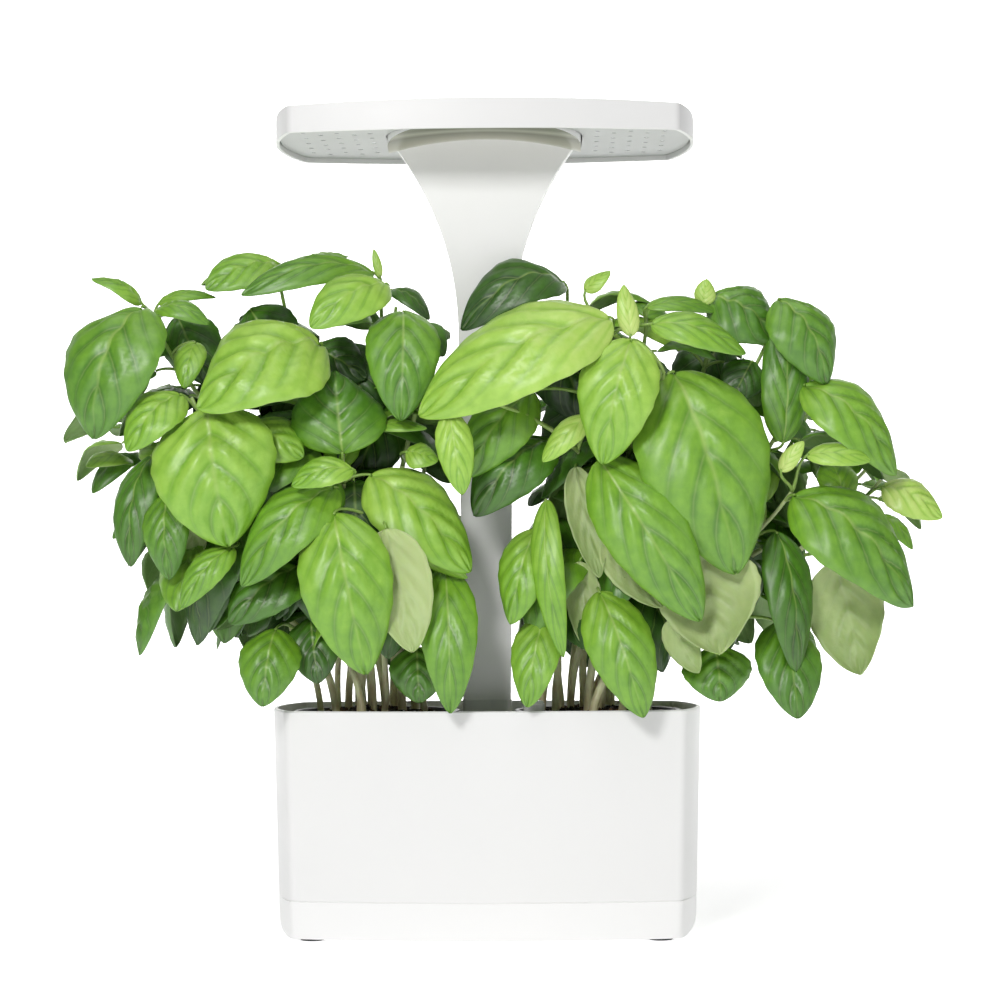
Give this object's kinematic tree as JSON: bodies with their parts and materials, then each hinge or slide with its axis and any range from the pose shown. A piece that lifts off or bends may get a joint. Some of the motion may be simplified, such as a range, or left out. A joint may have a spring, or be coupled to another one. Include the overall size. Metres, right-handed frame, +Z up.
{
  "type": "self watering planter",
  "caption": "Bowed white planter with a water tray under two potted herbs, a level gauge, and a grow lamp on a flared plug-in mast.",
  "frame": {"origin": "on the table, under the middle of the planter", "axes": "+X to the right along the planter, +Y to the back where the power inlet is, +Z up"},
  "size_m": [0.5704, 0.2256, 0.5174],
  "materials": {
    "tray_white": "injection moulded ABS, satin gloss",
    "foot_rubber": "soft black rubber, matt",
    "housing_white": "injection moulded ABS, satin gloss",
    "shelf_white": "moulded polypropylene, matt",
    "wick_felt": "pressed felt",
    "socket_white": "satin gloss ABS",
    "screw_steel": "plain steel",
    "contact_brass": "bright brass",
    "jack_black": "black nylon",
    "cable_black": "black PVC sheath",
    "gauge_white": "satin gloss ABS",
    "window_clear": "milky translucent plastic",
    "float_foam": "hollow moulded float",
    "float_rod": "moulded rod",
    "marker_orange": "moulded marker",
    "pot_black": "thin nursery pot, matt black",
    "soil": "moist peat compost",
    "herb_stem": "pale green, brown at the foot",
    "herb_leaf": "glossy basil leaf, paler underneath",
    "mast_white": "satin gloss ABS",
    "lamp_white": "satin gloss ABS",
    "reflector_white": "matt white reflector",
    "board_white": "white solder mask on aluminium",
    "led_yellow": "phosphor under clear resin",
    "spreader_aluminium": "bare sheet",
    "board_green": "green circuit board",
    "button_white": "satin gloss ABS"
  },
  "bodies": {
    "base": {"base_tray": "tray_white", "rubber_feet": "foot_rubber"},
    "housing": {"outer_shell": "housing_white", "pot_shelf": "shelf_white", "left_wick_mat": "wick_felt", "right_wick_mat": "wick_felt", "mast_socket": "socket_white", "socket_screws": "screw_steel", "socket_contacts": "contact_brass", "power_jack": "jack_black", "jack_nut": "screw_steel", "power_lead": "cable_black", "gauge_tube": "gauge_white", "gauge_window": "window_clear"},
    "level_indicator": {"level_float": "float_foam", "float_stem": "float_rod", "level_marker": "marker_orange"},
    "left_herb": {"left_pot": "pot_black", "left_soil": "soil", "left_stems": "herb_stem", "left_foliage": "herb_leaf"},
    "right_herb": {"right_pot": "pot_black", "right_soil": "soil", "right_stems": "herb_stem", "right_foliage": "herb_leaf"},
    "mast_and_lamp": {"mast_front_shell": "mast_white", "mast_rear_cover": "mast_white", "mast_cover_screws": "screw_steel", "mast_plug": "mast_white", "plug_contacts": "contact_brass", "mast_cable": "cable_black", "lamp_shell": "lamp_white", "lamp_screws": "screw_steel", "lamp_reflector": "reflector_white", "left_led_board": "board_white", "right_led_board": "board_white", "left_leds": "led_yellow", "right_leds": "led_yellow", "left_heat_spreader": "spreader_aluminium", "right_heat_spreader": "spreader_aluminium", "timer_board": "board_green", "tact_switch": "jack_black"},
    "button": {"power_button": "button_white"}
  },
  "joints": [
    {"name": "housing_lift", "type": "slide", "parent": "base", "child": "housing", "axis": [0, 0, 1], "range_m": [0, 0.06]},
    {"name": "level_rise", "type": "slide", "parent": "housing", "child": "level_indicator", "axis": [0, 0, 1], "range_m": [0, 0.022]},
    {"name": "left_herb_lift", "type": "slide", "parent": "housing", "child": "left_herb", "axis": [0, 0, 1], "range_m": [0, 0.06]},
    {"name": "right_herb_lift", "type": "slide", "parent": "housing", "child": "right_herb", "axis": [0, 0, 1], "range_m": [0, 0.06]},
    {"name": "mast_lift", "type": "slide", "parent": "housing", "child": "mast_and_lamp", "axis": [0, 0, 1], "range_m": [0, 0.04]},
    {"name": "button_press", "type": "slide", "parent": "mast_and_lamp", "child": "button", "axis": [0, 0, -1], "range_m": [0, 0.0008], "stiffness_N_per_m": 600, "springref_m": -0.0015}
  ]
}
